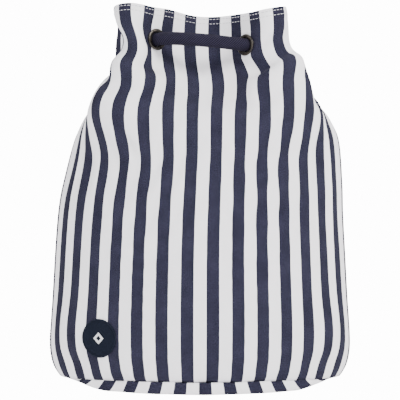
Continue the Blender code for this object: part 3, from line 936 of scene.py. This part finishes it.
def panel(name, first, last, finish):
    """One side of the canvas tube, a solid sheet from one side seam to the other."""
    columns = np.arange(first, last + 1)
    wrapped = columns % FINE_COLUMNS
    rows = FINE_ROWS + 1
    up_cloth = np.arange(rows) * RISE / 2
    hem = smooth((up_cloth - (CLOTH_HEIGHT - HEM - 0.002)) / 0.002)
    out = (CLOTH / 2 + 0.0004 * hem)[:, None, None]
    into = (CLOTH / 2 + 0.0010 * hem)[:, None, None]
    surface = fine[:, wrapped]
    normals = fine_normals[:, wrapped]
    seam = np.minimum(columns - first, last - columns)
    pinch = (0.0009 * np.exp(-((seam / 1.3) ** 2)))[None, :, None]
    outer = surface + normals * (out - pinch)
    inner = surface - normals * (into + pinch * 0.3)
    rim = surface + np.array([0, 0, 0.0004]) + normals * (out - into) / 2
    width = len(columns)
    points = np.concatenate([outer.reshape(-1, 3), inner.reshape(-1, 3), rim[-1]])
    around = np.tile(columns * STEP / 2, rows)
    height = np.repeat(up_cloth, width)
    places = np.stack([around, height], 1)
    places = np.concatenate([places, places, places[-width:]])
    under = rows * width
    top = 2 * under
    left_out = opened[:, wrapped[:-1]]
    faces = []
    for row in range(rows - 1):
        for column in range(width - 1):
            a = row * width + column
            quad = (a, a + 1, a + width + 1, a + width)
            if not left_out[row, column]:
                faces.append(quad)
                faces.append(tuple(under + i for i in reversed(quad)))
                continue
            beside = ((row - 1, column), (row, column + 1), (row + 1, column), (row, column - 1))
            for i, neighbour in enumerate(beside):
                if not left_out[neighbour]:
                    first, second = quad[i], quad[(i + 1) % 4]
                    faces.append((first, second, under + second, under + first))
    last_row = (rows - 1) * width
    for column in range(width - 1):
        faces.append((column + 1, column, under + column, under + column + 1))
        a = last_row + column
        faces.append((a, a + 1, top + column + 1, top + column))
        faces.append((top + column, top + column + 1, under + a + 1, under + a))
    for row in range(rows - 1):
        a = row * width
        b = a + width - 1
        faces.append((a, a + width, under + a + width, under + a))
        faces.append((b + width, b, under + b, under + b + width))
    return add_piece(name, points, faces, finish, places)


canvas = striped_canvas("striped_canvas")
body_front = panel("front_panel", -64, 64, canvas)
body_back = panel("back_panel", 64, 192, canvas)
for piece, node in ((body_front, "body_front"), (body_back, "body_back")):
    belongs(piece, node)


def on_cloth(around, up, lift=0.0):
    """Places on the canvas, from metres round it and up it, lifted off its outer face."""
    column = np.atleast_1d(np.asarray(around, dtype=float) / (STEP / 2))
    row = np.atleast_1d(np.clip(np.asarray(up, dtype=float) / (RISE / 2), 0, FINE_ROWS - 0.001))
    column, row = np.broadcast_arrays(column, row)
    c, r = np.floor(column).astype(int), np.floor(row).astype(int)
    x, y = (column - c)[..., None], (row - r)[..., None]
    made = []
    for grid in (fine, fine_normals):
        low = grid[r, c % FINE_COLUMNS] * (1 - x) + grid[r, (c + 1) % FINE_COLUMNS] * x
        high = grid[r + 1, c % FINE_COLUMNS] * (1 - x) + grid[r + 1, (c + 1) % FINE_COLUMNS] * x
        made.append(low * (1 - y) + high * y)
    normal = made[1] / np.linalg.norm(made[1], axis=-1)[..., None]
    lift = np.broadcast_to(np.asarray(lift, dtype=float), row.shape)[..., None]
    return made[0] + normal * lift


# --- The sewing ----------------------------------------------------------------------------
# Pale cotton thread holds the turned-in hem in two rows, and dark thread closes the foot of
# each side seam. Each stitch is a short length of thread that dips into the cloth at its ends.


def stitches(name, starts, ends, lift, thick, finish):
    """One piece of thread stitches. Starts and ends are (metres round, metres up) lists."""
    starts, ends = np.array(starts), np.array(ends)
    points, faces, places = [], [], []
    sides, parts = 6, 5
    for start, end in zip(starts, ends):
        share = np.linspace(0, 1, parts)
        run = start + np.outer(share, end - start)
        dip = np.sin(math.pi * np.clip(share, 0.04, 0.96)) ** 0.5
        if lift < 0:
            line = on_cloth(run[:, 0], run[:, 1], lift - thick * 0.6 * dip)
        else:
            line = on_cloth(run[:, 0], run[:, 1], lift + thick * (1.7 * dip - 1.0))
        _, across, over = line_frames(line)
        base = len(points)
        for i in range(parts):
            for j in range(sides):
                turn = 2 * math.pi * j / sides
                size = thick * (0.55 if i in (0, parts - 1) else 1.0)
                way = across[i] * math.cos(turn) + over[i] * math.sin(turn)
                points.append(line[i] + size * way)
                places.append(run[i] + (0, j * 0.0001))
        for i in range(parts - 1):
            for j in range(sides):
                a, b = base + i * sides + j, base + i * sides + (j + 1) % sides
                faces.append((a, b, b + sides, a + sides))
        last = base + (parts - 1) * sides
        faces.append(tuple(base + j for j in reversed(range(sides))))
        faces.append(tuple(last + j for j in range(sides)))
    return add_piece(name, points, faces, finish, places, joined=False)


def thread_finish(name, colour, shade):
    """Spun sewing thread, with its twist across it and a little unevenness."""
    finish = Finish(name, roughness=0.7, Sheen_Weight=0.1)
    where, x, y, z = finish.object_place()
    twist = ((x + y + z * 1.4) / 0.0007 * 2 * math.pi).sine()
    uneven = where.noise(900.0, 2.0)
    # The twist term paints the grooves between the plies darker, as painted shade; the unevenness
    # is the thread's own tone.
    finish.wear("Base Color", (uneven * 0.8 + twist * 0.15).between(0.1, 0.9).mixed(shade, colour))
    finish.bump(twist + uneven, 0.0001, 0.6)
    return finish


pale_thread = thread_finish("pale_thread", (0.80, 0.79, 0.81, 1), (0.55, 0.54, 0.58, 1))
dark_thread = thread_finish("dark_thread", (0.022, 0.022, 0.035, 1), (0.008, 0.008, 0.014, 1))
HEM_STITCHES = 226
PITCH = GIRTH / HEM_STITCHES
for row_name, below in (("upper", 0.0028), ("lower", 0.0078)):
    up = CLOTH_HEIGHT - below
    begun = [(i * PITCH + 0.0004, up) for i in range(HEM_STITCHES)]
    ended = [(i * PITCH + 0.0031, up) for i in range(HEM_STITCHES)]
    for face_name, lift in (("outside", CLOTH / 2 + 0.0004), ("inside", -CLOTH / 2 - 0.0010)):
        name = f"hem_stitches_{row_name}_{face_name}"
        row = stitches(name, begun, ended, lift, 0.00033, pale_thread)
        belongs(row)

SEAM_PLACES = {"right": GIRTH / 4, "left": GIRTH * 3 / 4}
for side, seam_place in SEAM_PLACES.items():
    begun = [(seam_place + 0.0022, 0.004 + i * 0.0032) for i in range(15)]
    ended = [(seam_place + 0.0022, 0.0064 + i * 0.0032) for i in range(15)]
    begun += [(seam_place - 0.0030, 0.004), (seam_place - 0.0030, 0.012)]
    ended += [(seam_place + 0.0030, 0.0042), (seam_place + 0.0030, 0.0122)]
    row = stitches(f"seam_stitches_{side}", begun, ended, CLOTH / 2, 0.0003, dark_thread)
    belongs(row)

# --- The eyelets ---------------------------------------------------------------------------
# Ten pressed eyelets of dark antiqued brass. Each has a domed flange rolled over into its
# barrel on the outside, and a washer behind the cloth that the barrel passes through.


def turned(name, seat, profile, finish, sides=56, roll=0.0):
    """A ring turned from a closed profile of (radius, height) about an eyelet's axis."""
    points = []
    for i in range(sides):
        turn = 2 * math.pi * i / sides + roll
        way = seat.across * math.cos(turn) + seat.up * math.sin(turn)
        points.extend(seat.middle + way * r + seat.out * h for r, h in profile)
    return add_piece(name, points, ring_faces(sides, len(profile)), finish)


def antique_brass():
    """Near-black plating, rubbed back to warm brass in patches, with fine scratches."""
    finish = Finish("antique_brass", roughness=0.34, metallic=0.92)
    where, x, y, z = finish.object_place()
    rubbed = where.noise(110.0, 3.0)
    spots = where.noise(1500.0, 2.0)
    scratch = ((x * 3 + y * 1.7 - z) / 0.0006 * 2 * math.pi + rubbed * 9).sine()
    share = (rubbed * 1.3 + spots * 0.4 - 0.45).between(0.25, 0.85)
    finish.wear("Base Color", share.mixed((0.034, 0.031, 0.030, 1), (0.110, 0.095, 0.076, 1)))
    finish.wear("Roughness", (spots * 0.25 + rubbed * 0.2 + 0.14).between(0.0, 1.0))
    finish.bump(rubbed * 1.2 + scratch * 0.12 + spots * 0.5, 0.00012, 0.5)
    return finish


brass = antique_brass()
WALL = 0.0008
for name, seat in seats.items():
    bore, flange = seat.bore_radius, seat.flange_radius
    half, centre = (flange - bore) / 2, (flange + bore) / 2
    foot, rise = seat.under + 0.0005, seat.top - seat.under - 0.0005
    turns = np.linspace(0, math.pi, 13)
    profile = [
        (bore + WALL, seat.end),
        (bore + WALL * 0.4, seat.end - 0.0001),
        (bore, seat.end + 0.0004),
        *[(centre - half * math.cos(t), foot + rise * math.sin(t)) for t in turns],
        (flange - 0.0004, seat.under),
        (bore + WALL + 0.0004, seat.under),
        (bore + WALL, seat.under - 0.0004),
    ]
    ring = turned(f"eyelet_ring_{name}", seat, profile, brass, roll=sum(map(ord, name)) * 0.1)
    belongs(ring, f"eyelet_{name}")
    inner = bore + WALL + 0.0001
    washer = [
        (inner, seat.back - 0.0001),
        (inner + 0.0003, seat.back),
        (flange - 0.0003, seat.back),
        (flange, seat.back - 0.0003),
        (flange - 0.0004, seat.back - 0.0008),
        (centre, seat.back - 0.0009),
        (inner + 0.0002, seat.back - 0.0006),
    ]
    back_ring = turned(f"washer_ring_{name}", seat, washer, brass, sides=48)
    belongs(back_ring, f"washer_{name}")

# --- The base ------------------------------------------------------------------------------
# An oval of the same canvas, its stripes running from front to back, with its edge turned up
# to meet the sides. The seam inside is bound with herringbone tape, and so are the side seams.

base_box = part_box("base_panel")
BASE_HALF_WIDTH = (base_box[1][0] - base_box[0][0]) / 2
BASE_HALF_DEPTH = (base_box[1][1] - base_box[0][1]) / 2
BASE_SHIFT = 0.0058


def base_sheet(finish):
    """The base as a solid sheet, in rings from its middle out to its turned-up edge."""
    rims = (
        (0.10, 0.0022),
        (0.35, 0.0019),
        (0.62, 0.0013),
        (0.82, 0.0007),
        (0.92, 0.0004),
        (0.972, 0.0005),
        (0.992, 0.0014),
        (1.0, 0.0038),
        (0.999, 0.0072),
        (0.994, 0.0105),
        (0.986, 0.0134),
    )
    count = 192
    turn = np.arange(count) / count * 2 * math.pi
    ring = even_oval(BASE_HALF_WIDTH - 0.0025, BASE_HALF_DEPTH + 0.0045, count)[0]
    points, places = [(0, 0, 0.0022), (0, 0, 0.0034)], [(BASE_SHIFT, 0), (BASE_SHIFT, 0)]
    thick = 0.0012
    layers = []
    for side in (0, 1):
        for share, z in rims:
            start = len(points)
            wave = 0.0007 * np.sin(turn * 13 + 1.2) + 0.0005 * np.sin(turn * 29)
            for i, (x, y) in enumerate(ring):
                puffed = 1 + (wave[i] / 0.12 if share > 0.95 else 0)
                in_by = side * (thick / math.hypot(x, y) if share > 0.95 else 0)
                size = share * puffed - in_by
                up = z + side * (thick if share <= 0.988 and z < 0.005 else 0.0002)
                lift = 0.0005 * math.sin(turn[i] * 17) if share > 0.97 and side == 0 else 0
                raised = 0.0085 * smooth((abs(x * size) - 0.100) / 0.050)
                seam = 0.0138 - 0.005 * abs(x / BASE_HALF_WIDTH) ** 4
                up = raised + (up + lift * z / 0.0138) * (seam - raised) / 0.0138
                points.append((x * size, y * size, max(0.0003, up)))
                flat = share * (1 + max(0, z - 0.001) * 6)
                places.append((x * flat + GIRTH / STRIPES / 2 - BASE_SHIFT, y * flat))
            layers.append(start)
    faces = []
    half = len(rims)
    for i in range(count):
        j = (i + 1) % count
        faces.append((0, layers[0] + j, layers[0] + i))
        faces.append((1, layers[half] + i, layers[half] + j))
        for k in range(half - 1):
            a, b = layers[k], layers[k + 1]
            faces.append((a + i, a + j, b + j, b + i))
            a, b = layers[half + k], layers[half + k + 1]
            faces.append((a + j, a + i, b + i, b + j))
        a, b = layers[half - 1], layers[-1]
        faces.append((a + i, a + j, b + j, b + i))
    return add_piece("base_sheet", points, faces, finish, places)


base = base_sheet(canvas)
belongs(base, "base_panel")


def herringbone_tape():
    """Pale herringbone cotton tape."""
    finish = Finish("herringbone_tape", roughness=0.88, Sheen_Weight=0.08)
    where, x, y, z = finish.object_place()
    zigzag = abs(((z / 0.0042) % 1) - 0.5) * 2
    rib = ((x + y) / 0.0011 * 2 * math.pi + zigzag * 7).sine()
    dust = where.noise(300.0, 3.0)
    # The rib term paints the grooves of the herringbone darker, as painted shade; the dust noise
    # is the tape's own uneven tone.
    shade = (rib * 0.2 + dust * 0.7 + 0.1).between(0.1, 0.9)
    finish.wear("Base Color", shade.mixed((0.60, 0.59, 0.60, 1), (0.80, 0.79, 0.80, 1)))
    finish.bump(rib + dust, 0.0002, 0.7)
    return finish


tape = herringbone_tape()


def inside_strip(name, column, wide, first_row, last_row, off, thick, finish):
    """A flat strip against the inside of the canvas, running up it from first to last row."""
    rows = np.arange(first_row, last_row + 1)
    columns = np.linspace(column, column + wide, 5)
    lifts = (-CLOTH / 2 - off, -CLOTH / 2 - off - thick)
    points, faces, places = [], [], []
    for lift in lifts:
        for row in rows:
            spots = on_cloth(columns * STEP / 2, row * RISE / 2, lift)
            points.extend(spots)
            places.extend((c * STEP / 2, row * RISE / 2) for c in columns)
    width, layer = len(columns), len(rows) * len(columns)
    for i in range(len(rows) - 1):
        for j in range(width - 1):
            a = i * width + j
            faces.append((a, a + width, a + width + 1, a + 1))
            faces.append((layer + a, layer + a + 1, layer + a + width + 1, layer + a + width))
        for a, b in ((i * width, 0), (i * width + width - 1, 1)):
            quad = (a, layer + a, layer + a + width, a + width)
            faces.append(quad if not b else tuple(reversed(quad)))
    for a, b in ((0, 0), ((len(rows) - 1) * width, 1)):
        for j in range(width - 1):
            quad = (a + j, a + j + 1, layer + a + j + 1, layer + a + j)
            faces.append(quad if not b else tuple(reversed(quad)))
    return add_piece(name, points, faces, finish, places)


for side, column in (("right", 64), ("left", 192)):
    strip = inside_strip(f"side_tape_{side}", column - 1.5, 3.0, 4, 92, 0.0008, 0.0012, tape)
    belongs(strip, f"side_binding_{side}")


def carried(node, finish, width=0.0):
    """A CAD part shown as it is, with a new finish and, if asked, softened edges."""
    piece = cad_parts[node]
    piece.data.materials.clear()
    piece.data.materials.append(finish.material)
    if width:
        soft = piece.modifiers.new("soft_edges", "BEVEL")
        soft.width = width
        soft.segments = 3
        soft.limit_method = "ANGLE"
    return piece


carried("base_binding", tape, 0.0003)

# --- The label -----------------------------------------------------------------------------
# A slip of white satin beside the left side seam, inside the bag. It is left blank.

satin = Finish("label_satin_weave", roughness=0.42, Sheen_Weight=0.2)
label_where, _, _, label_z = satin.object_place()
floats = (label_z / 0.0005 * 2 * math.pi + label_where.noise(500.0, 2.0) * 2).sine()
# The floats term paints the gaps between the satin floats darker, as painted shade; the noise is
# the satin's own uneven tone.
satin_shade = (floats * 0.3 + label_where.noise(90.0, 3.0) * 0.6 + 0.1).between(0.0, 1.0)
satin.wear("Base Color", satin_shade.mixed((0.70, 0.70, 0.72, 1), (0.86, 0.86, 0.86, 1)))
satin.bump(floats + label_where.noise(200.0, 3.0) * 2, 0.0001, 0.6)
carried("care_label", satin, 0.0002)

# --- The badge -----------------------------------------------------------------------------
# A round embroidered badge low on the left of the front: a ground of close dark satin
# stitches, a corded border, and a plain white diamond in raised thread.

badge_box = [np.array(corner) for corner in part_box("badge_border")]
badge_middle = (badge_box[0] + badge_box[1]) / 2
gap = np.linalg.norm(fine - badge_middle, axis=2)
badge_row, badge_column = np.unravel_index(gap.argmin(), gap.shape)
BADGE_AROUND = badge_column * STEP / 2
BADGE_UP = badge_row * RISE / 2
BADGE_RADIUS = (badge_box[1][2] - badge_box[0][2]) / 2


def badge_ring(name, profile, finish, outline=None, sides=120):
    """A closed ring on the cloth from (radius share, lift) pairs, following an outline."""
    turn = np.arange(sides) / sides * 2 * math.pi
    outline = outline or (lambda t: np.ones_like(t))
    reach = outline(turn) * BADGE_RADIUS
    points, places = [], []
    for share, lift in profile:
        x, y = np.cos(turn) * reach * share, np.sin(turn) * reach * share
        points.extend(on_cloth(BADGE_AROUND + x, BADGE_UP + y, lift))
        if outline(turn[:1])[0] == 1.0 and share > 0.9:
            places.extend((t * BADGE_RADIUS, share * BADGE_RADIUS) for t in turn)
        else:
            places.extend(zip(x, y))
    return add_piece(name, points, ring_faces(len(profile), sides), finish, places)


def satin_stitch(name, dark, light, pitch, gloss=0.7):
    """Close parallel threads with uneven shades and short breaks along them. The gaps between the
    threads and at the breaks are painted darker, as painted shade.
    """
    finish = Finish(name, roughness=gloss, Specular_IOR_Level=0.05)
    where, x, y = finish.cloth_place()
    line = y / pitch
    thread = abs((line * math.pi + where.noise(300.0, 2.0) * 0.8).sine())
    broken = ((x / 0.0052 + (line * 0.5) % 1) * math.pi).sine()
    patch = where.noise(500.0, 3.0)
    # The thread and break terms paint the gaps between threads darker, as painted shade; the patch
    # noise is the thread's own uneven tone.
    shade = (thread * 0.5 + patch * 0.5 + abs(broken) * 0.1).between(0.2, 1.0)
    finish.wear("Base Color", shade.mixed(dark, light))
    finish.bump(thread + abs(broken) * 0.3 + patch * 0.4, 0.00022, 0.8)
    return finish


# GROUND_SHADE is the near-black of the painted shade between the ground's satin threads, and of
# its darker patches.
GROUND_SHADE, GROUND_NAVY = (0.002, 0.003, 0.006, 1), (0.011, 0.014, 0.026, 1)
badge_ground = satin_stitch("badge_ground_stitch", GROUND_SHADE, GROUND_NAVY, 0.00042)
badge_cord = Finish("badge_border_stitch", roughness=0.7, Specular_IOR_Level=0.06)
cord_where, cord_x, _ = badge_cord.cloth_place()
wraps = abs((cord_x / 0.00045 * math.pi + cord_where.noise(300.0, 2.0)).sine())
# The wraps term paints the cord darker between its turns, as painted shade.
badge_cord.wear("Base Color", wraps.mixed((0.002, 0.003, 0.007, 1), (0.012, 0.015, 0.027, 1)))
badge_cord.bump(wraps, 0.0002, 0.8)
# MOTIF_SHADE is the grey of the painted shade between the diamond's white threads, and of its
# darker patches.
MOTIF_SHADE, MOTIF_WHITE = (0.50, 0.50, 0.52, 1), (0.85, 0.85, 0.86, 1)
badge_white = satin_stitch("badge_motif_stitch", MOTIF_SHADE, MOTIF_WHITE, 0.0004, 0.6)
FACE = CLOTH / 2
disc = badge_ring(
    "badge_ground",
    [(0.002, FACE), (0.90, FACE), (0.93, FACE + 0.0004), (0.91, FACE + 0.0010)]
    + [(share, FACE + 0.0012) for share in (0.86, 0.74, 0.58, 0.42, 0.26, 0.12, 0.002)],
    badge_ground,
)
cord_turns = np.linspace(0, 2 * math.pi, 14)[:-1]
border = badge_ring(
    "badge_border_cord",
    [(0.945 + 0.045 * math.cos(t), FACE + 0.0008 + 0.0009 * math.sin(t)) for t in cord_turns],
    badge_cord,
    sides=160,
)


def diamond(turn):
    return 0.305 / (np.abs(np.cos(turn)) * 1.05 + np.abs(np.sin(turn)))


low, edge, high = FACE + 0.0011, FACE + 0.0021 - 0.0003, FACE + 0.0021
motif = badge_ring(
    "badge_diamond",
    [(0.46, low), (0.46, edge), (0.56, high), (0.90, high), (1.0, edge), (1.0, low)],
    badge_white,
    outline=diamond,
)
for piece, node, slot in (
    (disc, "badge_disc", "badge_ground"),
    (border, "badge_border", "badge_border_thread"),
    (motif, "badge_motif", "white_thread"),
):
    belongs(piece, node)

# --- The slider ----------------------------------------------------------------------------
# A block of dark leather with a bore for each run of the rope. It slides on the rope to close
# the neck.


def worn_leather():
    """Dark grained leather, paler in rubbed patches."""
    finish = Finish("worn_leather", roughness=0.5, Coat_Weight=0.08)
    where = finish.object_place()[0]
    grain = where.noise(1500.0, 4.0)
    pores = where.noise(5200.0, 2.0)
    rubbed = where.noise(110.0, 3.0)
    shade = (rubbed * 0.9 + grain * 0.4 - 0.3).between(0.1, 0.9)
    finish.wear("Base Color", shade.mixed((0.014, 0.012, 0.016, 1), (0.058, 0.048, 0.055, 1)))
    finish.wear("Roughness", (grain * 0.35 + 0.32).between(0.0, 1.0))
    finish.bump(grain + pores * 0.5 + rubbed * 0.6, 0.0004, 0.8)
    return finish


carried("cord_slider", worn_leather(), 0.0009)
